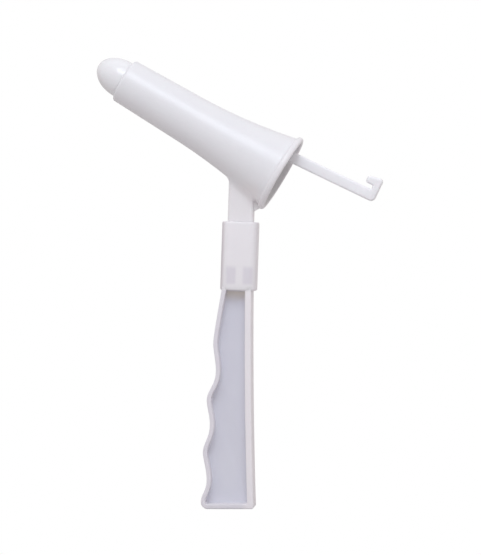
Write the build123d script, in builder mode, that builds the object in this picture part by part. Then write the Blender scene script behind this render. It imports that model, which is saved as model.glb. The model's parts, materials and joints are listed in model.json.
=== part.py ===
from build123d import *
from math import asin, cos, degrees, radians, sin, sqrt, tan
import os

# A one-use anoscope: a trumpet tube on a stem, a finger grip that the stem plugs into,
# and an obturator made of a domed nose and a hooked pull rod.
# The origin is the middle of the grip's flat butt. +Z runs up the grip, +X points to the
# user's side, where the tube's lip and the hook are, and the object is symmetric about Y = 0.
# Sizes are in millimetres and angles in degrees.

os.makedirs("parts", exist_ok=True)

# Fits
socket_gap = 0.1
nose_gap = 0.1

# Stem, and the socket sleeve that it plugs into
stem_width = 11.5
stem_depth = 8.0
stem_corner = 1.4
stem_wall = 1.8
stem_plug_length = 19.9
stem_root_fillet = 0.8
sleeve_side_wall = 2.25
sleeve_face_wall = 2.9
sleeve_corner = 4.0
sleeve_edge = 0.8
sleeve_step = 0.2
sleeve_floor = 3.4
sleeve_lean = 2.5
stop_rib_height = 7.5
stop_rib_thickness = 2.3

# Grip
grip_height = 98.0
butt_width = 23.0
butt_front_radius = 3.0
butt_back_radius = 0.8
sleeve_offset = 5.64
grip_top_front = -1.3
back_hollow = 0.5
front_flange = 1.9
back_flange = 2.8
butt_flange = 2.3
web_thickness = 2.0
flange_edge = 0.4
crest_radius = 8.0
valley_radius = 18.0
crests = [(-5.3, 73.9), (-8.4, 48.7), (-10.4, 25.3)]
valleys = [(-4.2, 62.6), (-7.1, 38.3), (-8.8, 13.6)]

# Speculum tube
tube_length = 83.9
tube_elevation = 31.3
tube_wall = 1.6
distal_radius = 10.2
distal_edge = 1.2
cone_angle = 1.75
cone_length = 34.0
flare_radius = 254.0
lip_thickness = 3.1
lip_radius = 18.4
lip_edge = 1.25
rim_reach = 21.0
stem_reach = 31.8
lip_rib_thickness = 5.0
lip_rib_drop = 0.6
lip_rib_seat = 0.6

# Obturator nose
nose_length = 12.4
nose_stand_off = 1.0
nose_wall = 1.4
skirt_length = 22.0
boss_radius = 4.3

# Pull rod and its hook
rod_height = 5.0
rod_depth = 6.0
rod_edge = 1.2
rod_rise_at_lip = 8.8
rod_rise_at_nose = 1.55
rod_plug_length = 12.0
rod_reach = 41.0
hook_depth = 8.0
hook_leg = 3.3
hook_return = 7.2
hook_return_height = 4.5
hook_gap = 1.8
hook_top_fall = 1.1
hook_neck = 3.0
hook_top_corner = 1.4
hook_bottom_corner = 2.2
hook_notch_corner = 0.6
hook_tip_corner = 1.3
hook_edge = 0.6

# Worked out from the sizes above
bore_width = stem_width + 2 * socket_gap
bore_depth = stem_depth + 2 * socket_gap
sleeve_width = bore_width + 2 * sleeve_side_wall
sleeve_depth = bore_depth + 2 * sleeve_face_wall
grip_depth = sleeve_depth - 2 * sleeve_step
stem_foot_height = sleeve_floor + stop_rib_height
sleeve_height = stem_foot_height + stem_plug_length
stem_height = stem_plug_length + stem_reach

lean = radians(sleeve_lean)
sleeve_up = Vector(sin(lean), 0, cos(lean))
sleeve_foot = Vector(sleeve_offset, 0, grip_height)
sleeve_plane = Plane(origin=sleeve_foot, x_dir=(cos(lean), 0, -sin(lean)), z_dir=sleeve_up)
stem_plane = sleeve_plane.offset(stem_foot_height)

# The stem's axis crosses the tube's axis here, and the tube is drawn from it,
# with local x along the tube towards its far end.
crossing = sleeve_foot + sleeve_up * (sleeve_height + stem_reach)
elevation = radians(tube_elevation)
tube_plane = Plane(origin=crossing, x_dir=(-cos(elevation), 0, sin(elevation)), z_dir=(0, 1, 0))
tube_axis = Axis(crossing, tube_plane.x_dir)
rim_x = -rim_reach
distal_x = tube_length - rim_reach
bore_radius = distal_radius - tube_wall

# The rib that fills the notch between the stem and the lip, sunk a little into both,
# and running up into the bore, which trims it.
lip_foot = tube_plane.from_local_coords((rim_x + lip_thickness / 2, lip_rib_seat - lip_radius, 0))
stem_back = stem_plane.origin + stem_plane.x_dir * (stem_width / 2 - lip_rib_seat)
rib_points = [(lip_foot.X, lip_foot.Z), (stem_back.X, lip_foot.Z - lip_rib_drop),
              (stem_back.X, crossing.Z), (lip_foot.X, crossing.Z)]

# The rod is drawn from where it crosses the rim, with local x along the rod towards the hook.
rod_start = tube_plane.from_local_coords((distal_x, rod_rise_at_nose, 0))
rod_at_rim = tube_plane.from_local_coords((rim_x, rod_rise_at_lip, 0))
rod_plane = Plane(origin=rod_at_rim, x_dir=rod_at_rim - rod_start, z_dir=(0, -1, 0))
rod_root_x = -(rod_at_rim - rod_start).length
boss_back_x = rod_root_x + rod_plug_length
hook_end_x = rod_reach
hook_root_x = hook_end_x - hook_leg
hook_tip_x = hook_end_x - hook_return
hook_neck_x = hook_tip_x - hook_neck

outline_top = grip_height + sleeve_floor
butt_front_x = -butt_width / 2
butt_back_x = butt_width / 2


def rod_station(along):
    """Plane square to the rod at a place along it, facing the nose."""
    origin = rod_plane.from_local_coords((along, 0, 0))
    return Plane(origin=origin, x_dir=(0, 1, 0), z_dir=-rod_plane.x_dir)


def half_wave(start, end, start_radius, end_radius):
    """Curve down the grip between a crest and a valley, upright and rounded at both."""
    across = abs(end[0] - start[0])
    start_handle = sqrt(2 / 3 * across * start_radius)
    end_handle = sqrt(2 / 3 * across * end_radius)
    return Bezier(start, (start[0], start[1] - start_handle), (end[0], end[1] + end_handle), end)


def trumpet_section(skin):
    """Half section of the tube's body from its axis out, lying skin deep under its outer face."""
    with BuildSketch() as section:
        with BuildLine():
            slope = radians(cone_angle)
            flare_x = distal_x - cone_length
            radius = distal_radius - skin
            bend = flare_radius + skin
            turn = asin(sin(slope) + (flare_x - rim_x) / bend) - slope
            cone = Line((distal_x, radius), (flare_x, radius + cone_length * tan(slope)))
            flare = JernArc(cone @ 1, cone % 1, bend, -degrees(turn))
            Polyline(flare @ 1, (rim_x, 0), (distal_x, 0), cone @ 0)
        make_face()
    return section.sketch_local


def nose_section(skin):
    """Half section of the nose and its tapered skirt, lying skin deep under the outer face."""
    radius = bore_radius - nose_gap - skin
    dome_x = distal_x + nose_stand_off
    skirt_x = distal_x - skirt_length
    skirt_radius = radius + skirt_length * tan(radians(cone_angle))
    with BuildSketch() as section:
        with BuildLine():
            dome = EllipticalCenterArc((dome_x, 0), nose_length - skin, radius, start_angle=0, arc_size=90)
            Polyline(dome @ 1, (distal_x, radius), (skirt_x, skirt_radius), (skirt_x, 0), dome @ 0)
        make_face()
    return section.sketch_local


def grip_section(front_skin, back_skin, butt_skin):
    """Side face of the grip, lying under its front, back and butt by the given skins."""
    face_crests = [(x + front_skin, z) for x, z in crests]
    face_valleys = [(x + front_skin, z) for x, z in valleys]
    toe_start = (butt_front_x + front_skin, butt_front_radius)
    lead_start = (grip_top_front + front_skin, outline_top)
    back_x = butt_back_x - back_skin
    with BuildSketch() as section:
        with BuildLine():
            first_crest = face_crests[0]
            lead_end = sqrt(2 / 3 * abs(first_crest[0] - lead_start[0]) * crest_radius)
            Bezier(lead_start, (lead_start[0], grip_height), (first_crest[0], first_crest[1] + lead_end),
                   first_crest)
            for crest, valley, next_crest in zip(face_crests, face_valleys, face_crests[1:] + [toe_start]):
                half_wave(crest, valley, crest_radius - front_skin, valley_radius + front_skin)
                half_wave(valley, next_crest, valley_radius + front_skin, crest_radius - front_skin)
            toe = JernArc(toe_start, (0, -1), butt_front_radius - butt_skin, 90)
            butt = Line(toe @ 1, (back_x - butt_back_radius, butt_skin))
            heel = JernArc(butt @ 1, (1, 0), butt_back_radius, 90)
            back = ThreePointArc(heel @ 1, (back_x - back_hollow, grip_height / 2), (back_x, outline_top))
            Line(back @ 1, lead_start)
        make_face()
    return section.sketch_local


with BuildPart() as sleeve_blank:
    with BuildSketch(sleeve_plane):
        RectangleRounded(sleeve_width, sleeve_depth, sleeve_corner)
    extrude(amount=sleeve_height)
    sleeve_ends = sleeve_blank.faces().sort_by(Axis.Z)
    fillet(sleeve_ends[0].edges() + sleeve_ends[-1].edges(), radius=sleeve_edge)

with BuildPart() as grip_handle:
    with BuildSketch(Plane.XZ):
        add(grip_section(0, 0, 0))
    extrude(amount=grip_depth / 2, both=True)
    flange_faces = grip_handle.faces().sort_by(Axis.Y)
    fillet(flange_faces[0].edges() + flange_faces[-1].edges(), radius=flange_edge)
    with BuildSketch(Plane.XZ) as grip_pocket:
        add(grip_section(front_flange, back_flange, butt_flange))
    extrude(amount=grip_depth / 2, both=True, mode=Mode.SUBTRACT)
    extrude(grip_pocket.sketch, amount=web_thickness / 2, both=True)
    add(sleeve_blank.part)
    with BuildSketch(sleeve_plane.offset(sleeve_floor)):
        RectangleRounded(bore_width, bore_depth, stem_corner + socket_gap)
    extrude(amount=sleeve_height, mode=Mode.SUBTRACT)
    with BuildSketch(sleeve_plane.offset(sleeve_floor)):
        Rectangle(stop_rib_thickness, bore_depth)
    extrude(amount=stop_rib_height)
grip_handle.part.label = "grip_handle"

# The core that hollows the stem from below, stopping short of the tube by the stem's wall.
with BuildPart() as stem_core:
    with BuildSketch(stem_plane):
        RectangleRounded(stem_width - 2 * stem_wall, stem_depth - 2 * stem_wall, stem_corner / 2)
    extrude(amount=stem_height)
    with BuildSketch(tube_plane):
        add(trumpet_section(-stem_wall))
    revolve(axis=tube_axis, mode=Mode.SUBTRACT)

with BuildPart() as speculum_tube:
    with BuildSketch(tube_plane) as tube_section:
        add(trumpet_section(0))
        fillet(tube_section.vertices().group_by(Axis.X)[-1].sort_by(Axis.Y)[-1], radius=distal_edge)
    revolve(axis=tube_axis)
    with BuildSketch(tube_plane) as lip_section:
        with Locations((rim_x, 0)):
            Rectangle(lip_thickness, lip_radius, align=Align.MIN)
        fillet(lip_section.vertices().group_by(Axis.Y)[-1], radius=lip_edge)
    revolve(axis=tube_axis)
    with BuildSketch(stem_plane):
        RectangleRounded(stem_width, stem_depth, stem_corner)
    extrude(amount=stem_height)
    fillet(edges(Select.NEW), radius=stem_root_fillet)
    with BuildSketch(Plane.XZ):
        with BuildLine():
            Polyline(*rib_points, close=True)
        make_face()
    extrude(amount=lip_rib_thickness / 2, both=True)
    with BuildSketch(tube_plane):
        add(trumpet_section(tube_wall))
    revolve(axis=tube_axis, mode=Mode.SUBTRACT)
    add(stem_core.part, mode=Mode.SUBTRACT)
speculum_tube.part.label = "speculum_tube"

# The nose's hollow leaves a boss round the rod's plug, which runs forward into the dome.
with BuildPart() as nose_hollow:
    with BuildSketch(tube_plane):
        add(nose_section(nose_wall))
    revolve(axis=tube_axis)
    with BuildSketch(rod_station(boss_back_x)):
        Circle(boss_radius)
    extrude(amount=tube_length, mode=Mode.SUBTRACT)

with BuildPart() as obturator_nose:
    with BuildSketch(tube_plane):
        add(nose_section(0))
    revolve(axis=tube_axis)
    add(nose_hollow.part, mode=Mode.SUBTRACT)
    with BuildSketch(rod_station(boss_back_x)):
        RectangleRounded(rod_depth, rod_height, rod_edge)
    extrude(amount=rod_plug_length, mode=Mode.SUBTRACT)
obturator_nose.part.label = "obturator_nose"

# The hook, cut to its side profile and then to its plan, which widens from the shank.
hook_bottom = -rod_height / 2
return_bottom = rod_height / 2 + hook_gap
hook_top = return_bottom + hook_return_height
with BuildPart() as hook_head:
    with BuildSketch(rod_plane):
        with BuildLine():
            hook_side = FilletPolyline(
                (hook_neck_x, hook_bottom),
                (hook_end_x, hook_bottom),
                (hook_end_x, hook_top),
                (hook_tip_x, hook_top - hook_top_fall),
                (hook_tip_x, return_bottom),
                (hook_root_x, return_bottom),
                (hook_root_x, rod_height / 2),
                (hook_neck_x, rod_height / 2),
                radius=[hook_bottom_corner, hook_top_corner, hook_tip_corner, hook_tip_corner,
                        hook_notch_corner, hook_notch_corner],
            )
            Line(hook_side @ 1, hook_side @ 0)
        make_face()
    extrude(amount=hook_depth / 2, both=True)
    with BuildSketch(Plane(origin=rod_at_rim, x_dir=rod_plane.x_dir, z_dir=rod_plane.y_dir)):
        with BuildLine():
            Polyline((hook_neck_x, -rod_depth / 2), (hook_tip_x, -hook_depth / 2),
                     (hook_end_x, -hook_depth / 2), (hook_end_x, hook_depth / 2),
                     (hook_tip_x, hook_depth / 2), (hook_neck_x, rod_depth / 2), close=True)
        make_face()
    extrude(amount=hook_top, both=True, mode=Mode.INTERSECT)
    hook_sides = hook_head.faces().filter_by(GeomType.PLANE).sort_by(Axis.Y)
    fillet(hook_sides[0].edges() + hook_sides[-1].edges(), radius=hook_edge)

with BuildPart() as pull_rod:
    with BuildSketch(rod_station(hook_neck_x)):
        RectangleRounded(rod_depth, rod_height, rod_edge)
    extrude(amount=hook_neck_x - rod_root_x)
    add(hook_head.part)
pull_rod.part.label = "pull_rod"

for piece in (grip_handle, speculum_tube, obturator_nose, pull_rod):
    export_step(piece.part, f"parts/{piece.part.label}.step")
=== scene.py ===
import json
from math import cos, pi, radians, sin, sqrt, tan

import bmesh
import bpy
from bpy.props import FloatProperty, FloatVectorProperty, PointerProperty
from mathutils import Matrix, Quaternion, Vector


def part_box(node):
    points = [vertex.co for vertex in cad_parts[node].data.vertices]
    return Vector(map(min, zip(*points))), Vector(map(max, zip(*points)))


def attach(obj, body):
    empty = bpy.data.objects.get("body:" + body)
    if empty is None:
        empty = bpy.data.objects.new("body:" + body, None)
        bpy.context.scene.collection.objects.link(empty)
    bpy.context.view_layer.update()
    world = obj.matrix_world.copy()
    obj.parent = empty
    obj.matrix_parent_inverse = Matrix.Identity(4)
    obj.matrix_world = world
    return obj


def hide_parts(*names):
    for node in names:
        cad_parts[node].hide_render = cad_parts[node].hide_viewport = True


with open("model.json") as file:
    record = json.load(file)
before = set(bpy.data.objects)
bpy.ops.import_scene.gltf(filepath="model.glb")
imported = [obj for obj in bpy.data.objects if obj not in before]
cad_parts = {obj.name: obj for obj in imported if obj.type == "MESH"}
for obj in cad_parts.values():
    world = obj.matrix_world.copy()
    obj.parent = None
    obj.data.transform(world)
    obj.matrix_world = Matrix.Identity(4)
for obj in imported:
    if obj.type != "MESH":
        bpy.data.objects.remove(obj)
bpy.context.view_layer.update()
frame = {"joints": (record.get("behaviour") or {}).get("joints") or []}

bl_info = {
    "name": "One-use anoscope",
    "version": (1, 0, 0),
    "blender": (4, 5, 0),
    "location": "3D View > Sidebar > Anoscope",
    "description": "Models a moulded anoscope with its obturator and finger grip",
    "category": "Add Mesh",
}

MM = 0.001
FIT_TOLERANCE = 0.6 * MM
MERGE_DISTANCE = 0.002 * MM
CUT_MARGIN = 0.3 * MM
SHARP_ANGLE = radians(42)
BACK_ROUNDING = 0.45     # of the nose's wall
BOSS_TIP = 0.5           # of the boss's radius
FAR_CLIP = 10            # camera distances

# How many parts the round shapes are divided into
TUBE_STEPS = 160
NOSE_STEPS = 128
PROFILE_STEPS = 64
DOME_STEPS = 28
BACK_STEPS = 16
STEM_STEPS = 12
WAVE_STEPS = 10
CORNER_STEPS = 8
SIDE_STEPS = 6
ROD_EDGE_STEPS = 5
EDGE_STEPS = 4
FINE_STEPS = 3
RIB_EDGE_STEPS = 2
SEARCH_STEPS = 40

# The milky plastic, the same on every piece
PLASTIC_IOR = 1.49
COAT_ROUGHNESS = 0.3
MILK_DEPTH = 1.5 * MM
MILK_RADIUS = (1.0, 0.92, 0.95)
DENSE_TINT = (0.95, 0.95, 0.97)
CLOUD_SIZE = 14 * MM
CLOUD_RANGE = (0.35, 0.75)
CLOUD_STRENGTH = 0.35
ROD_CLOUDS = 0.4
GRAIN_SIZE = 0.5 * MM
GRAIN_HARSHNESS = 0.6
FINE_DETAIL = 3.0
NOISE_MIDDLE = 0.5
SWELL_SIZE = 5 * MM
PATCH_SIZE = 7 * MM
PATCH_GLOSS = 0.10
GRAIN_GLOSS = 0.06
RELIEF = 0.004 * MM
SOCKET_SHADE_STRENGTH = 0.65
RIB_SHIFT = 0.65 * MM
BACK_CORNER_SHARE = 0.35
NOSE_CLOUD_SIZE = 20 * MM
ROD_CLOUD_SIZE = 12 * MM
FLOOR_ROUGHNESS = 0.6

# The surface of each moulding
TUBE_SURFACE = {"gloss": 0.36, "grain": 0.5, "milk": 0.25, "coat": 0.22}
GRIP_SURFACE = {"gloss": 0.48, "grain": 1.0, "milk": 0.25, "coat": 0.05}
NOSE_SURFACE = {"gloss": 0.2, "grain": 0.25, "milk": 0.3, "coat": 0.3}
ROD_SURFACE = {"gloss": 0.32, "grain": 0.0, "milk": 0.4, "coat": 0.1}

# Where colours fade: millimetres before an edge and after it
BORE_SHADE_FADE = (0.1, 0.3)
BORE_SHADE_HEIGHT_FADE = (-2, 9)
STEM_TOP_FADE = (0, 6)
STEM_SIDE_FADE = (-0.5, 5)
RIM_FADE = (4, -1.5)
WEB_SIDE_FADE = (-0.2, 0.9)
WEB_END_FADE = (1, 0)
WEB_SHADOW_FADE = (6, 0)
FRONT_CORNER_FADE = (0, 2.2)
BACK_CORNER_FADE = (2, 0)
SLEEVE_FOOT_FADE = (0.2, 0.2)
WINDOW_RIB_FADE = (0.3, 1.3)
WINDOW_SIDE_FADE = (0.6, 1.1)
WINDOW_FLOOR_FADE = (1.5, 0.5)
WINDOW_TOP_FADE = (1.6, 1)
WINDOW_DEPTH_FADE = (0, 1.4)

# Where colours fade as the surface turns towards the side, from 0 to 1
WEB_FACING = (0.3, 0.7)
SLEEVE_FACING = (0.05, 0.4)

# Sockets of a Mix node that blends colours
MIX_SHARE, MIX_FIRST, MIX_SECOND, MIX_COLOUR = 0, 6, 7, 2

# Crests and hollows of the wavy front flange, as (place, height) in millimetres
FINGER_CRESTS = ((-5.5, 73.9), (-8.7, 48.7), (-10.7, 25.3))
FINGER_VALLEYS = ((-4.4, 62.6), (-7.4, 38.3), (-9.1, 13.6))

# Directions in which the tube and the obturator come off
slides = {joint["name"]: Vector(joint["axis"]).normalized() for joint in frame["joints"]}
STEM_UP = slides["stem_unplug"]
TOWARDS_USER = slides["obturator_pull"]
SIDEWAYS = Vector((0, 1, 0))


# ---- sizes and colours

def length(name, description, millimetres):
    """A length that a user can change, in metres, with its default given in millimetres."""
    return FloatProperty(name=name, description=description, default=millimetres * MM,
                         unit="LENGTH", subtype="DISTANCE", precision=5)


def angle(name, description, degrees_value):
    """An angle that a user can change, with its default given in degrees."""
    return FloatProperty(name=name, description=description, default=radians(degrees_value),
                         unit="ROTATION", subtype="ANGLE")


def colour(name, description, default):
    """A linear colour that a user can change."""
    return FloatVectorProperty(name=name, description=description, default=default,
                               subtype="COLOR", size=3, min=0.0, max=1.0)


class ANOSCOPE_PG_tube(bpy.types.PropertyGroup):
    """Sizes of the trumpet tube and its stem."""
    tube_length: length("Tube length", "From the far end to the rim", 83.9)
    wall: length("Wall", "Thickness of the tube's wall", 1.6)
    distal_radius: length("Far end radius", "Outer radius at the far end", 10.2)
    distal_edge: length("Far end rounding", "Radius of the outer edge of the far end", 1.2)
    bore_edge: length("Bore rounding", "Radius of the inner edge of the far end", 0.3)
    cone_angle: angle("Cone angle", "Slope of the straight part of the tube", 1.75)
    cone_length: length("Cone length", "Length of the straight part of the tube", 34.0)
    flare_radius: length("Flare radius", "Radius of the curve that opens the tube", 254.0)
    lip_thickness: length("Lip thickness", "Thickness of the lip along the tube", 2.4)
    lip_radius: length("Lip radius", "Outer radius of the lip", 18.4)
    lip_front_edge: length("Lip front rounding", "Radius of the lip's edge on the user's side", 1.25)
    lip_back_edge: length("Lip back rounding", "Radius of the lip's edge on the tube's side", 0.8)
    lip_root: length("Lip root", "Radius of the hollow between the tube and its lip", 0.8)
    lip_slope: length("Lip slope", "How far the lip's back leans towards the tube", 0.6)
    mouth_edge: length("Mouth rounding", "Radius of the rim's inner edge", 0.7)
    rim_reach: length("Rim reach", "From the stem's axis to the rim, along the tube", 21.0)
    stem_reach: length("Stem reach", "From the sleeve's mouth to the tube's axis", 31.8)
    stem_width: length("Stem width", "Size of the stem from front to back", 11.5)
    stem_depth: length("Stem depth", "Size of the stem across the object", 8.0)
    stem_corner: length("Stem corner", "Radius of the stem's long edges", 1.4)
    stem_wall: length("Stem wall", "Thickness of the stem's wall round its core", 1.8)
    stem_end_edge: length("Stem end rounding", "Radius of the edge at the stem's foot", 0.4)
    plug_length: length("Plug length", "How far the stem sits in the sleeve", 19.9)
    root_front: length("Front blend", "Radius between stem and tube at the front", 2.0)
    root_side: length("Side blend", "Radius between stem and tube at the sides", 3.2)
    root_back: length("Back blend", "Radius between stem and tube under the lip", 0.8)
    lip_rib: length("Lip rib", "Thickness of the rib between the stem and the lip", 5.0)
    lip_rib_drop: length("Lip rib drop", "How far the rib falls from the lip to the stem", 2.2)
    lip_rib_seat: length("Lip rib seat", "How deep the rib is sunk into the lip", 0.6)
    lip_rib_edge: length("Lip rib rounding", "Radius of the rib's edges", 0.5)


class ANOSCOPE_PG_grip(bpy.types.PropertyGroup):
    """Sizes of the finger grip and its socket sleeve."""
    height: length("Grip height", "From the butt to the sleeve", 98.0)
    butt_width: length("Butt width", "Size of the butt from front to back", 23.7)
    front_radius: length("Toe radius", "Radius of the butt's front corner", 3.0)
    back_radius: length("Heel radius", "Radius of the butt's back corner", 0.8)
    top_front: length("Top front", "Place of the front flange under the sleeve", -1.3)
    back_hollow: length("Back hollow", "How far the back flange bows in at its middle", 0.5)
    front_flange: length("Front flange", "Thickness of the wavy flange", 1.9)
    back_flange: length("Back flange", "Thickness of the back flange", 2.8)
    butt_flange: length("Butt flange", "Thickness of the butt", 2.3)
    web: length("Web", "Thickness of the web between the flanges", 2.0)
    flange_edge: length("Flange rounding", "Radius of the flanges' outer edges", 0.5)
    pocket_edge: length("Pocket rounding", "Radius of the flanges' inner edges", 0.3)
    pocket_root: length("Pocket root", "Radius where the flanges meet the web", 0.5)
    crest_radius: length("Crest radius", "Radius of the crests between the fingers", 8.0)
    valley_radius: length("Valley radius", "Radius of the hollows for the fingers", 18.0)
    sleeve_offset: length("Sleeve offset", "Place of the sleeve's foot ahead of the butt's middle", 5.64)
    side_wall: length("Sleeve side wall", "Sleeve wall in front of and behind the stem", 2.25)
    face_wall: length("Sleeve face wall", "Sleeve wall each side of the stem", 2.9)
    sleeve_corner: length("Sleeve corner", "Radius of the sleeve's long edges", 4.0)
    sleeve_edge: length("Sleeve rounding", "Radius of the sleeve's top and bottom edges", 0.8)
    bore_edge: length("Bore rounding", "Radius of the edge of the sleeve's bore", 0.4)
    sleeve_step: length("Sleeve step", "How far the sleeve stands proud of the flanges", 0.2)
    sleeve_floor: length("Sleeve floor", "Thickness of the sleeve's floor", 3.4)
    socket_gap: length("Socket gap", "Clearance between the stem and the sleeve's bore", 0.1)
    rib_height: length("Stop rib height", "Height of the rib that the stem rests on", 7.5)
    rib_thickness: length("Stop rib thickness", "Thickness of the rib that the stem rests on", 2.3)


class ANOSCOPE_PG_obturator(bpy.types.PropertyGroup):
    """Sizes of the obturator's nose and its hooked pull rod."""
    nose_length: length("Nose length", "Length of the rounded nose", 12.4)
    stand_off: length("Nose stand-off", "Straight part between the tube and the nose", 1.0)
    nose_gap: length("Nose gap", "Clearance between the nose and the tube's bore", 0.1)
    nose_wall: length("Nose wall", "Thickness of the hollow nose", 1.4)
    skirt_length: length("Skirt length", "Length of the nose inside the tube", 22.0)
    boss_radius: length("Boss radius", "Radius of the boss that holds the rod", 4.3)
    rod_height: length("Rod height", "Height of the rod", 5.0)
    rod_depth: length("Rod depth", "Size of the rod across the object", 6.0)
    rod_edge: length("Rod rounding", "Radius of the rod's long edges", 0.9)
    rise_at_lip: length("Rise at the lip", "Height of the rod over the tube's axis at the rim", 8.8)
    rise_at_nose: length("Rise at the nose", "Height of the rod over the axis at the far end", 1.55)
    plug_length: length("Rod plug length", "How far the rod sits in the boss", 12.0)
    reach: length("Rod reach", "From the rim to the hook's end, along the rod", 41.0)
    hook_depth: length("Hook depth", "Size of the hook across the object", 8.0)
    hook_leg: length("Hook leg", "Thickness of the hook's end", 3.3)
    hook_return: length("Hook return", "Length of the leg that points back", 7.2)
    return_height: length("Return height", "Thickness of the leg that points back", 4.5)
    hook_gap: length("Hook gap", "Width of the hook's notch", 1.8)
    top_fall: length("Top fall", "How far the hook's top falls to its tip", 1.1)
    neck: length("Neck", "Length over which the rod widens into the hook", 3.0)
    top_corner: length("Top corner", "Radius of the hook's top corner", 1.4)
    bottom_corner: length("Bottom corner", "Radius of the hook's bottom corner", 2.2)
    notch_corner: length("Notch corner", "Radius in the bottom of the notch", 0.6)
    tip_corner: length("Tip corner", "Radius of the tip's corners", 1.3)


class ANOSCOPE_PG_finish(bpy.types.PropertyGroup):
    """Colours of the milky plastic."""
    tube: colour("Tube", "Plastic of the tube", (0.84, 0.84, 0.86))
    # Painted shade: the lower half of the bore is coloured darker, for the shade inside the tube.
    bore: colour("Bore", "Inside of the tube, in its lower half", (0.70, 0.69, 0.69))
    tube_thick: colour("Thick tube", "Tube where its plastic is thick", (0.86, 0.84, 0.85))
    sleeve: colour("Sleeve", "Sleeve, which is bright over the stem", (0.88, 0.86, 0.88))
    # Painted shade: darker colour on the sleeve's rounded front and back corners, where they turn away
    # from the light.
    sleeve_corner_shade: colour("Sleeve sides", "Thick front and back of the sleeve", (0.66, 0.62, 0.65))
    # Painted shade of the empty socket, seen through the sleeve's thin wall.
    window: colour("Sleeve hollow", "Sleeve over its empty socket", (0.72, 0.69, 0.75))
    flange: colour("Front flange", "Plastic of the grip's front and butt", (0.78, 0.76, 0.80))
    back_flange: colour("Back flange", "Plastic of the grip's thicker back flange", (0.88, 0.85, 0.87))
    # Partly painted shade: the thin web's own bluish tone, also made darker than the flanges for the
    # shade in its recess.
    web: colour("Web", "Plastic of the grip's thin web", (0.73, 0.735, 0.80))
    # Painted shadow: warm tone on the web right under the sleeve, standing in for the sleeve's shadow
    # there.
    web_shadow_tint: colour("Web top", "Thin web right under the sleeve", (0.80, 0.76, 0.69))
    nose: colour("Nose", "Plastic of the nose", (0.93, 0.93, 0.94))
    rod: colour("Rod", "Plastic of the rod", (0.94, 0.94, 0.98))


class ANOSCOPE_PG_stage(bpy.types.PropertyGroup):
    """Camera and light."""
    distance: length("Camera distance", "From the camera to the object", 1100.0)
    view_width: length("View width", "Width of the picture at the object", 216.5)
    turn: angle("Camera turn", "How far the camera stands round to the user's side", 5.5)
    rise: angle("Camera rise", "How far the camera stands over the level", 1.0)
    roll: angle("Camera roll", "How far the camera leans", 0.6)
    aim_x: length("Aim, along", "Point that the camera looks at, along the object", 6.5)
    aim_z: length("Aim, height", "Point that the camera looks at, over the floor", 103.7)
    floor_size: length("Floor size", "Width of the floor", 3000.0)
    key_power: FloatProperty(name="Key light", description="Power of the soft light over the camera",
                             default=3.2, unit="POWER")
    key_rise: angle("Key light rise", "How far the key light stands over the level", 45.0)
    key_distance: length("Light distance", "From the lights to the object", 1000.0)
    key_size: length("Light size", "Width of the soft lights", 450.0)
    key_colour: colour("Light colour", "Colour of the soft lights", (0.82, 0.90, 1.0))
    top_power: FloatProperty(name="Top light", description="Power of the light overhead",
                             default=0.2, unit="POWER")
    sky: FloatProperty(name="Surround", description="Strength of the white surround", default=0.75)
    sky_colour: colour("Surround colour", "Colour of the surround's light", (1.0, 0.96, 0.96))
    floor_colour: colour("Floor colour", "Colour of the floor in its own light", (0.6, 0.58, 0.58))


SETTINGS = {
    "anoscope_tube": ANOSCOPE_PG_tube,
    "anoscope_grip": ANOSCOPE_PG_grip,
    "anoscope_obturator": ANOSCOPE_PG_obturator,
    "anoscope_finish": ANOSCOPE_PG_finish,
    "anoscope_stage": ANOSCOPE_PG_stage,
}


# ---- places

def place(origin, along, up):
    """Matrix that puts local X along one direction and local Z up another."""
    along = Vector(along).normalized()
    up = Vector(up).normalized()
    across = up.cross(along)
    turned = Matrix((along, across, up)).transposed()
    return Matrix.Translation(origin) @ turned.to_4x4()


def square_up(direction):
    """Direction square to the given one, upwards in the mid-plane."""
    return Vector((-direction.z, 0, direction.x)) * (1 if direction.x > 0 else -1)


def sleeve_place(context):
    """Place of the sleeve's foot, with local Z up the stem."""
    grip = context.scene.anoscope_grip
    forward = Vector((STEM_UP.z, 0, -STEM_UP.x))
    return place((grip.sleeve_offset, 0, grip.height), forward, STEM_UP)


def foot_and_forward(context):
    """Place of the sleeve's foot, and the direction square to the stem on the user's side."""
    sleeve_at = sleeve_place(context)
    return sleeve_at.to_translation(), sleeve_at.to_3x3() @ Vector((1, 0, 0))


def foot_height(context):
    """Height of the stem's foot over the sleeve's."""
    grip = context.scene.anoscope_grip
    return grip.sleeve_floor + grip.rib_height


def sleeve_height(context):
    """Height of the sleeve's mouth over its foot."""
    return foot_height(context) + context.scene.anoscope_tube.plug_length


def tube_place(context):
    """Place where the stem's axis meets the tube's, with local X towards the far end."""
    reach = sleeve_height(context) + context.scene.anoscope_tube.stem_reach
    crossing = sleeve_place(context) @ Vector((0, 0, reach))
    return place(crossing, -TOWARDS_USER, square_up(TOWARDS_USER))


def rod_place(context):
    """Place where the rod crosses the rim, with local X towards the hook."""
    tube = context.scene.anoscope_tube
    rod = context.scene.anoscope_obturator
    at_rim = tube_place(context) @ Vector((-tube.rim_reach, 0, rod.rise_at_lip))
    at_nose = tube_place(context) @ Vector((tube.tube_length - tube.rim_reach, 0, rod.rise_at_nose))
    along = at_rim - at_nose
    return place(at_rim, along, square_up(along)), along.length


# ---- outlines

def turn_steps(count):
    """Quarter turn in equal steps, as angles from 0."""
    return [pi / 2 * step / count for step in range(count + 1)]


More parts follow.
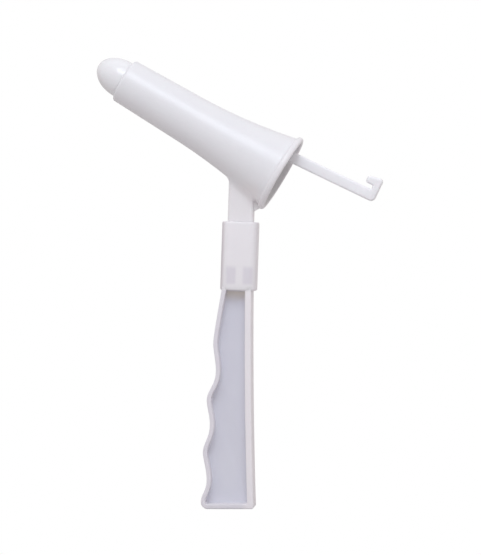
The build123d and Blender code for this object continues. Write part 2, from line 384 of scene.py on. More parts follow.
def rounded(points, radii, steps=SIDE_STEPS):
    """Polyline whose inner corners are arcs of the given radii."""
    points = [Vector(point) for point in points]
    result = [points[0]]
    for before, corner, after, radius in zip(points, points[1:], points[2:], radii):
        back = (before - corner).normalized()
        ahead = (after - corner).normalized()
        half = back.angle(ahead) / 2
        centre = corner + (back + ahead).normalized() * (radius / sin(half))
        start = corner + back * (radius / tan(half)) - centre
        end = corner + ahead * (radius / tan(half)) - centre
        sweep = pi - 2 * half
        for share in (step / steps for step in range(steps + 1)):
            spoke = start * sin(sweep * (1 - share)) + end * sin(sweep * share)
            result.append(centre + spoke / sin(sweep))
    return result + [points[-1]]


def bezier(start, start_handle, end_handle, end, steps):
    """Points of a cubic curve, its first included and its last left out."""
    points = []
    for step in range(steps):
        t = step / steps
        s = 1 - t
        points.append(Vector(start) * s ** 3 + Vector(start_handle) * 3 * s * s * t
                      + Vector(end_handle) * 3 * s * t * t + Vector(end) * t ** 3)
    return points


def rounded_rectangle(width, depth, corner):
    """Loop of a rectangle with round corners, as points and outward directions."""
    points = []
    half_x, half_y = width / 2 - corner, depth / 2 - corner
    for quarter, (sign_x, sign_y) in enumerate(((1, 1), (-1, 1), (-1, -1), (1, -1))):
        centre = Vector((sign_x * half_x, sign_y * half_y))
        for turn in turn_steps(CORNER_STEPS):
            turned = quarter * pi / 2 + turn
            outward = Vector((cos(turned), sin(turned)))
            points.append((centre + outward * corner, outward))
        side = 2 * (half_x if quarter % 2 == 0 else half_y)
        last, outward = points[-1]
        along = Vector((-outward.y, outward.x))
        points += [(last + along * side * step / SIDE_STEPS, outward) for step in range(1, SIDE_STEPS)]
    return points


def level(loop, grow, height):
    """Ring of points at a height, from a loop that is grown outwards."""
    return [(point + outward * grow).to_3d() + Vector((0, 0, height)) for point, outward in loop]


# ---- mesh tools

def add_line(mesh, points):
    """Vertices through the points, joined by edges. Returns both."""
    verts = [mesh.verts.new(point) for point in points]
    return verts, [mesh.edges.new(pair) for pair in zip(verts, verts[1:])]


def add_loop(mesh, points):
    """Closed loop of edges through the points."""
    verts, edges = add_line(mesh, points)
    return edges + [mesh.edges.new((verts[-1], verts[0]))]


def loft(mesh, rings):
    """Skin through closed rings of points. Returns the edges of each ring."""
    loops = [add_loop(mesh, ring) for ring in rings]
    for lower, upper in zip(loops, loops[1:]):
        bmesh.ops.bridge_loops(mesh, edges=lower + upper)
    return loops


def revolve(mesh, profile, steps):
    """Spins a profile of (along, radius) points about local X."""
    verts, edges = add_line(mesh, [(along, 0, radius) for along, radius in profile])
    bmesh.ops.spin(mesh, geom=verts + edges, cent=(0, 0, 0), axis=(1, 0, 0), angle=2 * pi,
                   steps=steps, use_merge=True, use_duplicate=False)
    bmesh.ops.remove_doubles(mesh, verts=mesh.verts, dist=MERGE_DISTANCE)


def bevel(mesh, edges, offset, segments):
    """Rounds the edges."""
    bmesh.ops.bevel(mesh, geom=edges, offset=offset, offset_type="OFFSET", segments=segments,
                    profile=0.5, affect="EDGES", material=-1, clamp_overlap=False)


def fill(mesh, loops):
    """Closes each loop of edges."""
    for loop in loops:
        bmesh.ops.edgeloop_fill(mesh, edges=loop)


def mesh_data(mesh, name):
    """Mesh data from a bmesh, which is freed."""
    data = bpy.data.meshes.new(name)
    mesh.to_mesh(data)
    mesh.free()
    return data


def join_mesh(mesh, other, matrix):
    """Moves another mesh's faces into this one, set at a place."""
    bmesh.ops.transform(other, matrix=matrix, verts=other.verts)
    carrier = mesh_data(other, "carrier")
    mesh.from_mesh(carrier)
    bpy.data.meshes.remove(carrier)


def add_object(name, data):
    """Puts an object with this mesh, light or camera in the scene."""
    made = bpy.data.objects.new(name, data)
    bpy.context.scene.collection.objects.link(made)
    return made


def finish_piece(mesh, name, node, body, material):
    """Makes the piece that stands for a CAD node, and checks that it fills the node's box."""
    bmesh.ops.remove_doubles(mesh, verts=mesh.verts, dist=MERGE_DISTANCE)
    bmesh.ops.recalc_face_normals(mesh, faces=mesh.faces)
    data = mesh_data(mesh, name)
    data.shade_smooth()
    data.set_sharp_from_angle(angle=SHARP_ANGLE)
    data.materials.append(material)
    piece = add_object(name, data)
    corners = [[pick(vert.co[axis] for vert in data.vertices) for axis in range(3)]
               for pick in (min, max)]
    miss = max(abs(mine - cads) for corner, cad_corner in zip(corners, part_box(node))
               for mine, cads in zip(corner, cad_corner))
    if miss > FIT_TOLERANCE:
        raise RuntimeError(f"{name} misses the box of {node} by {miss / MM:.2f} mm")
    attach(piece, body)
    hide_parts(node)


# ---- the tube and its stem

def tube_radius(tube, along, skin=0.0):
    """Radius of the tube's body at a place along it, skin deep under its outer face."""
    far_x = tube.tube_length - tube.rim_reach
    flare_x = far_x - tube.cone_length
    slope = tube.cone_angle
    if along >= flare_x:
        return tube.distal_radius - skin + (far_x - along) * tan(slope)
    bend = tube.flare_radius + skin
    turned = sin(slope) + (flare_x - along) / bend
    return (tube.distal_radius - skin + tube.cone_length * tan(slope)
            + bend * (cos(slope) - sqrt(1 - turned ** 2)))


def tube_profile(tube):
    """Closed section of the tube's wall with its rolled lip, as (along, radius) points."""
    far_x = tube.tube_length - tube.rim_reach
    rim_x = -tube.rim_reach
    lip_x = rim_x + tube.lip_thickness

    def run(skin, start, end):
        places = [start + (end - start) * step / PROFILE_STEPS for step in range(PROFILE_STEPS + 1)]
        return [Vector((along, tube_radius(tube, along, skin))) for along in places]

    root_x = lip_x + tube.lip_slope
    outer = run(0, far_x - 2 * tube.distal_edge, root_x + 2 * tube.lip_root)
    inner = run(tube.wall, rim_x + 2 * tube.mouth_edge, far_x - 2 * tube.bore_edge)
    lip = rounded([outer[-1], (root_x, tube_radius(tube, root_x)), (lip_x, tube.lip_radius),
                   (rim_x, tube.lip_radius), (rim_x, tube_radius(tube, rim_x, tube.wall)), inner[0]],
                  [tube.lip_root, tube.lip_back_edge, tube.lip_front_edge, tube.mouth_edge])
    far_end = rounded([inner[-1], (far_x, tube_radius(tube, far_x, tube.wall)),
                       (far_x, tube_radius(tube, far_x)), outer[0]],
                      [tube.bore_edge, tube.distal_edge])
    return outer[:-1] + lip + inner[1:-1] + far_end


def blend_radius(tube, outward):
    """Radius between the stem and the tube on the side that faces outward."""
    front = max(0, -outward.x) ** 2
    back = max(0, outward.x) ** 2
    return (tube.root_side + (tube.root_front - tube.root_side) * front
            + (tube.root_back - tube.root_side) * back)


def stem_distance(tube, point):
    """Distance from the stem's outline, and the outward direction there."""
    inside_x = abs(point.x) - (tube.stem_width / 2 - tube.stem_corner)
    inside_y = abs(point.y) - (tube.stem_depth / 2 - tube.stem_corner)
    outside = Vector((max(inside_x, 0), max(inside_y, 0)))
    distance = outside.length + min(max(inside_x, inside_y), 0) - tube.stem_corner
    if outside.length == 0:
        outside = Vector((1, 0)) if inside_x > inside_y else Vector((0, 1))
    outward = outside.normalized()
    return distance, Vector((outward.x * (1 if point.x > 0 else -1), outward.y))


def tube_height(tube, to_tube, top, across):
    """Height up the stem, from its foot, at which a line beside it meets the tube."""
    low, high = 0.0, top
    for _ in range(SEARCH_STEPS):
        middle = (low + high) / 2
        spot = to_tube @ Vector((across.x, across.y, middle))
        if sqrt(spot.y ** 2 + spot.z ** 2) > tube_radius(tube, spot.x):
            low = middle
        else:
            high = middle
    return low


def stem_rings(tube, to_tube, top):
    """Loops from the end of the stem's core, down it, round its foot and up to the tube."""
    outline = rounded_rectangle(tube.stem_width, tube.stem_depth, tube.stem_corner)
    core = rounded_rectangle(tube.stem_width - 2 * tube.stem_wall, tube.stem_depth - 2 * tube.stem_wall,
                             tube.stem_corner / 2)
    edge = tube.stem_end_edge
    heights = [tube_height(tube, to_tube, top, point) for point, _ in outline]
    core_tops = [tube_height(tube, to_tube, top, point) - tube.stem_wall for point, _ in core]

    rings = [[Vector((point.x, point.y, height)) for (point, _), height in zip(core, core_tops)],
             level(core, 0, edge)]
    for turned in turn_steps(EDGE_STEPS):
        rings.append(level(outline, -edge * (1 - sin(turned)), edge * (1 - cos(turned))))
    start = edge * 2
    for share in (step / STEM_STEPS for step in range(STEM_STEPS)):
        rings.append([
            (*point, start + share * (height - start - blend_radius(tube, outward)))
            for (point, outward), height in zip(outline, heights)])
    for turned in turn_steps(CORNER_STEPS):
        ring = []
        for point, outward in outline:
            radius = blend_radius(tube, outward)
            across = point + outward * radius * (1 - cos(turned))
            height = tube_height(tube, to_tube, top, across) - radius * (1 - sin(turned))
            ring.append(Vector((across.x, across.y, height)))
        rings.append(ring)
    return rings


def cut_tube_for_stem(mesh, tube, to_stem, to_tube):
    """Opens the tube's outer skin where the stem's blend meets it, up to the lip."""
    lip_x = tube.lip_thickness + tube.lip_slope - tube.rim_reach + tube.lip_root
    doomed = []
    for face in mesh.faces:
        centre = face.calc_center_median()
        spot = to_tube @ centre
        outwards = to_tube.to_3x3() @ face.normal
        if spot.z > 0 or spot.x < lip_x or outwards.z * spot.z + outwards.y * spot.y < 0:
            continue
        distance, outward = stem_distance(tube, to_stem @ centre)
        if distance < blend_radius(tube, outward) + CUT_MARGIN:
            doomed.append(face)
    bmesh.ops.delete(mesh, geom=doomed, context="FACES")


def add_lip_rib(mesh, tube, to_tube, top):
    """Rib that fills the notch between the stem and the lip, drawn in the stem's frame."""
    lip_foot = Vector((tube.lip_thickness / 2 - tube.rim_reach, 0, tube.lip_rib_seat - tube.lip_radius))
    foot = to_tube.inverted() @ lip_foot
    stem_x = (tube.stem_width - tube.stem_wall) / 2
    tops = [tube_height(tube, to_tube, top, Vector((x, 0))) + tube.wall / 2 for x in (stem_x, foot.x)]
    side = [(foot.x, foot.z), (stem_x, foot.z - tube.lip_rib_drop), (stem_x, tops[0]), (foot.x, tops[1])]
    loops = loft(mesh, [[(x, across, height) for x, height in side]
                        for across in (-tube.lip_rib / 2, tube.lip_rib / 2)])
    fill(mesh, loops)
    bmesh.ops.recalc_face_normals(mesh, faces=mesh.faces)
    bevel(mesh, [loop[0] for loop in loops], tube.lip_rib_edge, EDGE_STEPS)


class ANOSCOPE_OT_tube(bpy.types.Operator):
    """Model the trumpet tube and its stem as one moulding"""
    bl_idname = "anoscope.tube"
    bl_label = "Speculum tube"

    def execute(self, context):
        tube = context.scene.anoscope_tube
        tube_at = tube_place(context)
        stem_at = sleeve_place(context) @ Matrix.Translation((0, 0, foot_height(context)))
        to_tube = tube_at.inverted() @ stem_at
        top = tube.plug_length + tube.stem_reach
        mesh = bmesh.new()
        revolve(mesh, tube_profile(tube), TUBE_STEPS)
        bmesh.ops.transform(mesh, matrix=tube_at, verts=mesh.verts)
        bmesh.ops.recalc_face_normals(mesh, faces=mesh.faces)
        cut_tube_for_stem(mesh, tube, stem_at.inverted(), tube_at.inverted())
        stem = bmesh.new()
        loops = loft(stem, stem_rings(tube, to_tube, top))
        fill(stem, loops[:1])
        join_mesh(mesh, stem, stem_at)
        bmesh.ops.bridge_loops(mesh, edges=[edge for edge in mesh.edges if edge.is_boundary])
        rib = bmesh.new()
        add_lip_rib(rib, tube, to_tube, top)
        join_mesh(mesh, rib, stem_at)
        finish_piece(mesh, "tube_moulding", "speculum_tube", "speculum",
                     tube_plastic(context))
        return {"FINISHED"}


# ---- the grip

def handle_length(start, end, radius):
    """Length of the upright handle that gives a curve between two places this radius at its end."""
    return sqrt(2 / 3 * abs(end[0] - start[0]) * radius)


def half_wave(start, end, start_radius, end_radius):
    """Points down the grip between a crest and a valley, upright and rounded at both."""
    return bezier(start, (start[0], start[1] - handle_length(start, end, start_radius)),
                  (end[0], end[1] + handle_length(start, end, end_radius)), end, WAVE_STEPS)


def grip_loop(grip, front_skin, back_skin, butt_skin, top):
    """Side outline of the grip, lying under its front, back and butt by the given skins."""
    crests = [(x * MM + front_skin, z * MM) for x, z in FINGER_CRESTS]
    valleys = [(x * MM + front_skin, z * MM) for x, z in FINGER_VALLEYS]
    toe = (-grip.butt_width / 2 + front_skin, grip.front_radius)
    back_x = grip.butt_width / 2 - back_skin
    lead_start = (grip.top_front + front_skin, top)
    lead_handle = handle_length(lead_start, crests[0], grip.crest_radius)
    points = bezier(lead_start, (lead_start[0], grip.height),
                    (crests[0][0], crests[0][1] + lead_handle), crests[0], STEM_STEPS)
    crest_bend = grip.crest_radius - front_skin
    valley_bend = grip.valley_radius + front_skin
    for crest, valley, following in zip(crests, valleys, crests[1:] + [toe]):
        points += half_wave(crest, valley, crest_bend, valley_bend)
        points += half_wave(valley, following, valley_bend, crest_bend)
    toe_bend = grip.front_radius - butt_skin
    points += [Vector((toe[0] + toe_bend * (1 - cos(turned)),
                       grip.front_radius - toe_bend * sin(turned)))
               for turned in turn_steps(CORNER_STEPS)]
    points += [Vector((back_x - grip.back_radius * (1 - sin(turned)),
                       butt_skin + grip.back_radius * (1 - cos(turned))))
               for turned in turn_steps(EDGE_STEPS)]
    bottom = butt_skin + grip.back_radius
    for step in range(1, BACK_STEPS + 1):
        height = bottom + (top - bottom) * step / BACK_STEPS
        bow = 1 - (2 * height / grip.height - 1) ** 2
        points.append(Vector((back_x - grip.back_hollow * bow, height)))
    return points


def grip_body(mesh, grip, half_depth, top):
    """The H-section: its outer face, rounded flange edges, pocket walls and web."""
    def at(points, across):
        return [(point.x, across, point.y) for point in points]

    outer = grip_loop(grip, 0, 0, 0, top)
    pocket = grip_loop(grip, grip.front_flange, grip.back_flange, grip.butt_flange, top - grip.web / 2)
    rings = [at(pocket, -grip.web / 2), at(pocket, -half_depth), at(outer, -half_depth)]
    rings += [[(x, -across, z) for x, across, z in ring] for ring in reversed(rings)]
    roots = loft(mesh, rings)
    fill(mesh, (roots[0], roots[-1]))
    bmesh.ops.recalc_face_normals(mesh, faces=mesh.faces)
    bevel(mesh, roots[0] + roots[-1], grip.pocket_root, FINE_STEPS)
    bevel(mesh, roots[1] + roots[-2], grip.pocket_edge, FINE_STEPS)
    bevel(mesh, roots[2] + roots[-3], grip.flange_edge, EDGE_STEPS)


def sleeve_rings(context):
    """Loops from the bore's floor up to the mouth and down the outside to the sleeve's foot."""
    tube, grip = context.scene.anoscope_tube, context.scene.anoscope_grip
    bore_width = tube.stem_width + 2 * grip.socket_gap
    bore_depth = tube.stem_depth + 2 * grip.socket_gap
    height = sleeve_height(context)
    bore = rounded_rectangle(bore_width, bore_depth, tube.stem_corner + grip.socket_gap)
    body = rounded_rectangle(bore_width + 2 * grip.side_wall, bore_depth + 2 * grip.face_wall,
                             grip.sleeve_corner)

    rings = [level(bore, 0, grip.sleeve_floor)]
    for turned in turn_steps(EDGE_STEPS):
        rings.append(level(bore, grip.bore_edge * (1 - cos(turned)),
                           height - grip.bore_edge * (1 - sin(turned))))
    for turned in turn_steps(SIDE_STEPS):
        rings.append(level(body, -grip.sleeve_edge * (1 - sin(turned)),
                           height - grip.sleeve_edge * (1 - cos(turned))))
    for turned in turn_steps(SIDE_STEPS):
        rings.append(level(body, -grip.sleeve_edge * (1 - cos(turned)),
                           grip.sleeve_edge * (1 - sin(turned))))
    return rings


def add_stop_rib(mesh, tube, grip):
    """Rib across the bottom of the bore, which the stem rests on."""
    sunk = grip.sleeve_floor / 2
    size = (grip.rib_thickness, tube.stem_depth + 2 * grip.socket_gap + 2 * sunk, grip.rib_height + sunk)
    middle = Matrix.Translation((0, 0, grip.sleeve_floor - sunk + size[2] / 2))
    verts = bmesh.ops.create_cube(mesh, size=1, matrix=middle @ Matrix.Diagonal((*size, 1)))["verts"]
    edges = {edge for vert in verts for edge in vert.link_edges}
    bevel(mesh, list(edges), grip.bore_edge / 2, RIB_EDGE_STEPS)


class ANOSCOPE_OT_grip(bpy.types.Operator):
    """Model the finger grip with its H-section and its socket sleeve"""
    bl_idname = "anoscope.grip"
    bl_label = "Finger grip"

    def execute(self, context):
        tube, grip = context.scene.anoscope_tube, context.scene.anoscope_grip
        half_depth = tube.stem_depth / 2 + grip.socket_gap + grip.face_wall - grip.sleeve_step
        mesh = bmesh.new()
        grip_body(mesh, grip, half_depth, grip.height + grip.sleeve_floor / 2)
        sleeve = bmesh.new()
        loops = loft(sleeve, sleeve_rings(context))
        fill(sleeve, (loops[0], loops[-1]))
        add_stop_rib(sleeve, tube, grip)
        join_mesh(mesh, sleeve, sleeve_place(context))
        finish_piece(mesh, "grip_moulding", "grip_handle", "handle",
                     grip_plastic(context))
        return {"FINISHED"}


# ---- the obturator

def nose_profile(tube, rod, skin):
    """Profile of the nose and its skirt from the tip back, skin deep under the outer face."""
    far_x = tube.tube_length - tube.rim_reach
    dome_x = far_x + rod.stand_off
    radius = tube.distal_radius - tube.wall - rod.nose_gap - skin
    dome = [Vector((dome_x + (rod.nose_length - skin) * cos(turned), radius * sin(turned)))
            for turned in turn_steps(DOME_STEPS)]
    skirt_x = far_x - rod.skirt_length
    return dome + [Vector((far_x, radius)),
                   Vector((skirt_x, radius + rod.skirt_length * tan(tube.cone_angle)))]


def add_boss(mesh, tube, rod, back):
    """Round boss that runs forward from a place along the rod into the dome, with the plug's hole."""
    def ring(loop, size, along):
        return [(along, point.x * size, point.y * size) for point, _ in loop]

    hole = rounded_rectangle(rod.rod_depth, rod.rod_height, rod.rod_edge)
    circle = [(outward * rod.boss_radius, outward) for outward in
              (Vector((cos(2 * pi * step / len(hole)), sin(2 * pi * step / len(hole))))
               for step in range(len(hole)))]
    root = back - rod.plug_length
    dome = root - rod.stand_off
    radius = tube.distal_radius - tube.wall - rod.nose_gap - rod.nose_wall / 2

    def reach(size):
        share = (rod.boss_radius * size + rod.rise_at_nose / 2) / radius
        return dome - (rod.nose_length - rod.nose_wall / 2) * sqrt(1 - share ** 2)

    rings = [ring(hole, 1, root), ring(hole, 1, back)]
    rings += [ring(circle, 1, back), ring(circle, 1, reach(1)), ring(circle, BOSS_TIP, reach(BOSS_TIP))]
    loops = loft(mesh, rings)
    fill(mesh, (loops[0], loops[-1]))


class ANOSCOPE_OT_nose(bpy.types.Operator):
    """Model the hollow domed nose and the boss that holds the rod"""
    bl_idname = "anoscope.nose"
    bl_label = "Obturator nose"

    def execute(self, context):
        tube, rod = context.scene.anoscope_tube, context.scene.anoscope_obturator
        back_edge = rod.nose_wall * BACK_ROUNDING
        outer = nose_profile(tube, rod, 0)
        inner = nose_profile(tube, rod, rod.nose_wall)
        inner.reverse()
        back = rounded([outer[-2], outer[-1], inner[0], inner[1]], [back_edge, back_edge], EDGE_STEPS)
        mesh = bmesh.new()
        revolve(mesh, outer[:-1] + back[1:-1] + inner[1:], NOSE_STEPS)
        bmesh.ops.transform(mesh, matrix=tube_place(context), verts=mesh.verts)
        boss = bmesh.new()
        rod_at, rod_length = rod_place(context)
        add_boss(boss, tube, rod, rod.plug_length - rod_length)
        join_mesh(mesh, boss, rod_at)
        finish_piece(mesh, "nose_moulding", "obturator_nose", "obturator",
                     nose_plastic(context))
        return {"FINISHED"}


def rod_side(rod, back):
    """Side outline of the rod and its hook, as (along, height) points from the root's underside."""
    end = rod.reach
    tip = end - rod.hook_return
    notch = end - rod.hook_leg
    neck = tip - rod.neck
    half = rod.rod_height / 2
    return_bottom = half + rod.hook_gap
    top = return_bottom + rod.return_height
    return rounded(
        [(back, -half), (end, -half), (end, top), (tip, top - rod.top_fall), (tip, return_bottom),
         (notch, return_bottom), (notch, half), (back, half)],
        [rod.bottom_corner, rod.top_corner, rod.tip_corner, rod.tip_corner,
         rod.notch_corner, rod.notch_corner]), neck, tip


class ANOSCOPE_OT_rod(bpy.types.Operator):
    """Model the pull rod, which ends in a hook for a finger"""
    bl_idname = "anoscope.rod"
    bl_label = "Pull rod"

    def execute(self, context):
        rod = context.scene.anoscope_obturator
        rod_at, rod_length = rod_place(context)
        outline, neck, tip = rod_side(rod, -rod_length)
        mesh = bmesh.new()
        half = rod.rod_depth / 2
        loops = loft(mesh, [[(along, across, height) for along, height in outline]
                            for across in (-half, half)])
        fill(mesh, loops)
        bmesh.ops.recalc_face_normals(mesh, faces=mesh.faces)
        bevel(mesh, loops[0] + loops[1], rod.rod_edge, ROD_EDGE_STEPS)
        for step in range(SIDE_STEPS + 1):
            along = neck + (tip - neck) * step / SIDE_STEPS
            bmesh.ops.bisect_plane(mesh, geom=mesh.verts[:] + mesh.edges[:] + mesh.faces[:],
                                   plane_co=(along, 0, 0), plane_no=(1, 0, 0))
        widening = rod.hook_depth / rod.rod_depth - 1
        for vert in mesh.verts:
            share = min(max((vert.co.x - neck) / (tip - neck), 0), 1)
            vert.co.y *= 1 + widening * share * share * (3 - 2 * share)
        bmesh.ops.transform(mesh, matrix=rod_at, verts=mesh.verts)
        finish_piece(mesh, "rod_moulding", "pull_rod", "obturator",
                     rod_plastic(context))
        return {"FINISHED"}


# ---- plastics

class Signal:
    """A number that varies over a surface. Arithmetic on it adds Math nodes to its material."""

    def __init__(self, finish, socket):
        self.finish = finish
        self.socket = socket

    def maths(self, operation, *values):
        return self.finish.node("ShaderNodeMath", {"operation": operation}, dict(enumerate(values)))

    def __add__(self, other):
        return self.maths("ADD", self, other)

    __radd__ = __add__

    def __sub__(self, other):
        return self.maths("SUBTRACT", self, other)

    def __rsub__(self, other):
        return self.maths("SUBTRACT", other, self)

    def __mul__(self, other):
        return self.maths("MULTIPLY", self, other)

    __rmul__ = __mul__

    def __truediv__(self, other):
        return self.maths("DIVIDE", self, other)

    def __abs__(self):
        return self.maths("ABSOLUTE", self)

    def root(self):
        """Square root."""
        return self.maths("SQRT", self)

    def at_least(self, floor):
        """The value, or the floor where that is larger."""
        return self.maths("MAXIMUM", self, floor)

    def rising(self, start, end):
        """Smooth step from 0 at start to 1 at end."""
        return self.finish.node("ShaderNodeMapRange", {"interpolation_type": "SMOOTHSTEP"},
                                {"Value": self, "From Min": start, "From Max": end})

    def past(self, edge, before, after):
        """Fades in round an edge, from some millimetres before it to some after it."""
        return self.rising(edge - before * MM, edge + after * MM)

    def short_of(self, edge, before, after):
        """Fades out round an edge, from some millimetres before it to some after it."""
        return 1 - self.past(edge, before, after)


class Finish:
    """The shader of a material or a world, whose nodes are all added by one method."""

    def __init__(self, owner):
        owner.use_nodes = True
        self.owner = owner
        self.tree = owner.node_tree
        self.tree.nodes.clear()

    def node(self, kind, settings=None, values=None, output=0):
        """Adds a node with its settings, then the values or links of its sockets."""
        made = self.tree.nodes.new(kind)
        for name, value in (settings or {}).items():
            setattr(made, name, value)
        for name, value in (values or {}).items():
            socket = made.inputs[name]
            if isinstance(value, Signal):
                self.tree.links.new(value.socket, socket)
            else:
                socket.default_value = (*value, 1.0) if socket.type == "RGBA" else value
        return Signal(self, made.outputs[output]) if len(made.outputs) else None

    def place(self):
        """Place on the object."""
        return self.node("ShaderNodeTexCoord", output="Object")

    def noise(self, size, detail=2.0, rough=0.5):
        """Noise from 0 to 1 whose patches are about the given size across."""
        return self.node("ShaderNodeTexNoise", values={
            "Vector": self.place(), "Scale": 1 / size, "Detail": detail, "Roughness": rough},
            output="Fac")

    def dot(self, vector, direction):
        """How much of a vector lies along a direction."""
        return self.node("ShaderNodeVectorMath", {"operation": "DOT_PRODUCT"},
                         {0: vector, 1: direction}, output="Value")

    def facing(self, direction):
        """How far the surface faces along a direction, from -1 to 1."""
        return self.dot(self.node("ShaderNodeTexCoord", output="Normal"), direction)

    def along(self, origin, direction):
        """Distance from a point along a direction."""
        return self.dot(self.node("ShaderNodeVectorMath", {"operation": "SUBTRACT"},
                                  {0: self.place(), 1: origin}), direction)

    def blend(self, share, first, second):
        """Colour that turns from the first to the second as the share rises."""
        return self.node("ShaderNodeMix", {"data_type": "RGBA"},
                         {MIX_SHARE: share, MIX_FIRST: first, MIX_SECOND: second}, output=MIX_COLOUR)

    def shade(self, base, roughness, relief, milk, coat):
        """Surface from a colour, a roughness, a relief, and the strength of its milk and coat."""
        bump = self.node("ShaderNodeBump", values={
            "Height": relief, "Distance": RELIEF, "Strength": 1.0})
        shader = self.node("ShaderNodeBsdfPrincipled", values={
            "Base Color": base, "Roughness": roughness, "Normal": bump, "IOR": PLASTIC_IOR,
            "Subsurface Weight": milk, "Subsurface Radius": MILK_RADIUS,
            "Subsurface Scale": MILK_DEPTH, "Coat Weight": coat, "Coat Roughness": COAT_ROUGHNESS})
        self.node("ShaderNodeOutputMaterial", values={"Surface": shader})
        return self.owner


def moulded(finish, base, gloss, grain, milk, coat):
    """Milky plastic with cloudy colour, uneven gloss and the mould's fine texture."""
    dense = finish.node("ShaderNodeVectorMath", {"operation": "MULTIPLY"}, {0: base, 1: DENSE_TINT})
    cloud = finish.noise(CLOUD_SIZE, FINE_DETAIL).rising(*CLOUD_RANGE) * CLOUD_STRENGTH
    fine = finish.noise(GRAIN_SIZE, FINE_DETAIL, GRAIN_HARSHNESS)
    swell = finish.noise(SWELL_SIZE, detail=1.0)
    patchy = finish.noise(PATCH_SIZE)
    roughness = gloss + PATCH_GLOSS * (patchy - NOISE_MIDDLE) + GRAIN_GLOSS * (fine - NOISE_MIDDLE)
    return finish.shade(finish.blend(cloud, base, dense), roughness, fine * grain + swell, milk, coat)


def bore_shade_mask(finish, tube, tube_at):
    """Mask of painted shade: 1 on the lower faces of the bore and 0 outside, changing at the middle of
    the tube's wall.
    """
    centre = tube_at.to_translation()
    along = finish.along(centre, -TOWARDS_USER)
    sideways = finish.along(centre, SIDEWAYS)
    upwards = finish.along(centre, square_up(TOWARDS_USER))
    radius = (sideways * sideways + upwards * upwards).root()
    far_x = tube.tube_length - tube.rim_reach
    flare = (far_x - tube.cone_length - along).at_least(0)
    middle = (tube.distal_radius - tube.wall / 2 + (far_x - along) * tan(tube.cone_angle)
              + flare * flare * (1 / (2 * tube.flare_radius)))
    return (middle - radius).past(0, *BORE_SHADE_FADE) * upwards.short_of(0, *BORE_SHADE_HEIGHT_FADE)


def tube_plastic(context):
    """Glossy milky plastic, greyer where the stem and the lip are thick, with painted shade that greys
    the lower half of the bore.
    """
    colours = context.scene.anoscope_finish
    tube = context.scene.anoscope_tube
    finish = Finish(bpy.data.materials.new("milky tube plastic"))
    foot, forward = foot_and_forward(context)
    tube_at = tube_place(context)
    top = sleeve_height(context) + tube.stem_reach - tube.lip_radius
    low = finish.along(foot, STEM_UP).short_of(top, *STEM_TOP_FADE)
    beside_stem = abs(finish.along(foot, forward)).short_of(tube.stem_width / 2, *STEM_SIDE_FADE)
    rim = finish.along(tube_at.to_translation(), TOWARDS_USER).past(tube.rim_reach, *RIM_FADE)
    thick = 1 - (1 - beside_stem * low) * (1 - rim / 2)
    base = finish.blend(thick, colours.tube, colours.tube_thick)
    # Painted shade: the lower half of the bore takes the darker bore colour.
    base = finish.blend(bore_shade_mask(finish, tube, tube_at), base, colours.bore)
    return moulded(finish, base, **TUBE_SURFACE)


def grip_plastic(context):
    """Satin milky plastic, bluish on the thin web, which also carries painted shade for its recess and a
    warm painted shadow under the sleeve; painted shade darkens the sleeve's rounded corners and dims it
    over the empty part of the socket.
    """
    colours = context.scene.anoscope_finish
    grip = context.scene.anoscope_grip
    tube = context.scene.anoscope_tube
    finish = Finish(bpy.data.materials.new("satin grip plastic"))
    foot, forward = foot_and_forward(context)
    up = finish.along(foot, STEM_UP)
    ahead = finish.along(foot, forward)
    across = abs(finish.along(foot, SIDEWAYS))
    sideways = abs(finish.facing(SIDEWAYS))

    on_back = finish.along(Vector(), (1, 0, 0)).rising(grip.butt_width / 2 - 2 * grip.back_flange,
                                                       grip.butt_width / 2 - grip.back_flange)
    # Partly painted shade: the recessed web takes its darker, bluish colour.
    on_web = (across.short_of(grip.web / 2, *WEB_SIDE_FADE) * up.short_of(0, *WEB_END_FADE)
              * sideways.rising(*WEB_FACING))
    flanges = finish.blend(on_back, colours.flange, colours.back_flange)
    # Painted shadow: the web turns warm right under the sleeve, where the sleeve shades it.
    web = finish.blend(up.past(0, *WEB_SHADOW_FADE), colours.web, colours.web_shadow_tint)
    base = finish.blend(on_web, flanges, web)

    # Painted shade on the sleeve's rounded front and back corners, where they turn away from the light.
    side = tube.stem_width / 2 + grip.socket_gap + grip.side_wall
    corners = (ahead.short_of(-side, *FRONT_CORNER_FADE)
               + ahead.past(side, *BACK_CORNER_FADE) * BACK_CORNER_SHARE)
    sleeve = finish.blend(corners * sideways.rising(*SLEEVE_FACING), colours.sleeve, colours.sleeve_corner_shade)
    base = finish.blend(up.past(0, *SLEEVE_FOOT_FADE), base, sleeve)

    # Painted shade: dim patches where the empty socket, in shade, shows through the sleeve's thin wall.
    beside_rib = abs(finish.along(foot + forward * RIB_SHIFT, forward))
    window = (beside_rib.past(grip.rib_thickness / 2, *WINDOW_RIB_FADE)
              * beside_rib.short_of(tube.stem_width / 2, *WINDOW_SIDE_FADE)
              * up.past(grip.sleeve_floor, *WINDOW_FLOOR_FADE)
              * up.short_of(foot_height(context), *WINDOW_TOP_FADE)
              * across.past(tube.stem_depth / 2 + grip.socket_gap, *WINDOW_DEPTH_FADE))
    base = finish.blend(window * SOCKET_SHADE_STRENGTH, base, colours.window)
    return moulded(finish, base, **GRIP_SURFACE)


def nose_plastic(context):
    """Polished milky plastic."""
    colours = context.scene.anoscope_finish
    finish = Finish(bpy.data.materials.new("polished nose plastic"))
    base = finish.blend(finish.noise(NOSE_CLOUD_SIZE), colours.nose, colours.tube)
    return moulded(finish, base, **NOSE_SURFACE)


def rod_plastic(context):
    """Smooth plastic with a faint lavender tint."""
    colours = context.scene.anoscope_finish
    finish = Finish(bpy.data.materials.new("lavender rod plastic"))
    base = finish.blend(finish.noise(ROD_CLOUD_SIZE) * ROD_CLOUDS, colours.rod, colours.tube)
    return moulded(finish, base, **ROD_SURFACE)


# ---- stage

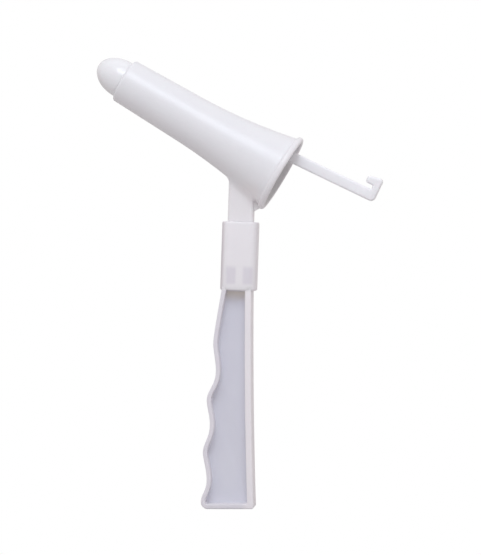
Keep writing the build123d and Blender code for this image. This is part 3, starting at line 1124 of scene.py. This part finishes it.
def lit_for_camera(finish, unseen, output_kind):
    """Shows plain white to the camera, and lets the unseen shader light the object."""
    seen = finish.node("ShaderNodeLightPath", output="Is Camera Ray")
    white = finish.node("ShaderNodeEmission")
    shown = finish.node("ShaderNodeMixShader", values={0: seen, 1: unseen, 2: white})
    finish.node(output_kind, values={"Surface": shown})


def outlook(turn, rise):
    """Direction away from the object, turned round to the user's side and raised."""
    return Vector((sin(turn) * cos(rise), -cos(turn) * cos(rise), sin(rise)))


def area_light(name, power, size, location, aim, colour_value):
    """Soft square light that shines from a place towards a point."""
    data = bpy.data.lights.new(name, "AREA")
    data.shape = "SQUARE"
    data.size = size
    data.energy = power
    data.color = colour_value
    light = add_object(name, data)
    light.location = location
    light.rotation_mode = "QUATERNION"
    light.rotation_quaternion = (aim - location).to_track_quat("-Z", "Y")
    return light


class ANOSCOPE_OT_stage(bpy.types.Operator):
    """Set up the floor, the soft lights and the camera"""
    bl_idname = "anoscope.stage"
    bl_label = "Stage"

    def execute(self, context):
        stage = context.scene.anoscope_stage
        scene = context.scene
        mesh = bmesh.new()
        bmesh.ops.create_grid(mesh, x_segments=1, y_segments=1, size=stage.floor_size / 2)
        floor = add_object("floor", mesh_data(mesh, "floor"))
        pale = Finish(bpy.data.materials.new("pale floor"))
        paint = pale.node("ShaderNodeBsdfPrincipled", values={
            "Base Color": stage.floor_colour, "Roughness": FLOOR_ROUGHNESS})
        lit_for_camera(pale, paint, "ShaderNodeOutputMaterial")
        floor.data.materials.append(pale.owner)

        studio = Finish(bpy.data.worlds.new("studio"))
        sky = studio.node("ShaderNodeBackground", values={
            "Color": stage.sky_colour, "Strength": stage.sky})
        lit_for_camera(studio, sky, "ShaderNodeOutputWorld")
        scene.world = studio.owner

        aim = Vector((stage.aim_x, 0, stage.aim_z))
        back = outlook(stage.turn, stage.rise)
        key_side = outlook(stage.turn, stage.key_rise)
        key = area_light("key light", stage.key_power, stage.key_size,
                         aim + key_side * stage.key_distance, aim, stage.key_colour)
        top = area_light("top light", stage.top_power, stage.key_size,
                         aim + Vector((0, 0, stage.key_distance)), aim, stage.key_colour)

        data = bpy.data.cameras.new("camera")
        data.sensor_fit = "HORIZONTAL"
        data.lens = data.sensor_width * stage.distance / stage.view_width
        data.clip_end = FAR_CLIP * stage.distance
        camera = add_object("camera", data)
        camera.location = aim + back * stage.distance
        camera.rotation_mode = "QUATERNION"
        level_view = (-back).to_track_quat("-Z", "Y")
        camera.rotation_quaternion = level_view @ Quaternion((0, 0, 1), -stage.roll)
        scene.camera = camera
        scene.view_settings.view_transform = "Standard"
        return {"FINISHED"}


# ---- sidebar and registration

class ANOSCOPE_PT_sidebar(bpy.types.Panel):
    """Sizes, colours and steps of the anoscope"""
    bl_idname = "ANOSCOPE_PT_sidebar"
    bl_label = "Anoscope"
    bl_space_type = "VIEW_3D"
    bl_region_type = "UI"
    bl_category = "Anoscope"

    def draw(self, context):
        layout = self.layout
        for step in STEPS:
            layout.operator(step.bl_idname)
        for name, group in SETTINGS.items():
            box = layout.box()
            box.label(text=group.__doc__)
            for field in group.__annotations__:
                box.prop(getattr(context.scene, name), field)


STEPS = (ANOSCOPE_OT_tube, ANOSCOPE_OT_grip, ANOSCOPE_OT_nose, ANOSCOPE_OT_rod, ANOSCOPE_OT_stage)
CLASSES = (*SETTINGS.values(), *STEPS, ANOSCOPE_PT_sidebar)


def register():
    for made in CLASSES:
        bpy.utils.register_class(made)
    for name, group in SETTINGS.items():
        setattr(bpy.types.Scene, name, PointerProperty(type=group))


def unregister():
    for name in SETTINGS:
        delattr(bpy.types.Scene, name)
    for made in reversed(CLASSES):
        bpy.utils.unregister_class(made)


def main():
    """Registers the add-on, then builds every piece in order and sets up the stage."""
    register()
    bpy.ops.anoscope.tube()
    bpy.ops.anoscope.grip()
    bpy.ops.anoscope.nose()
    bpy.ops.anoscope.rod()
    bpy.ops.anoscope.stage()


if __name__ == "__main__":
    main()
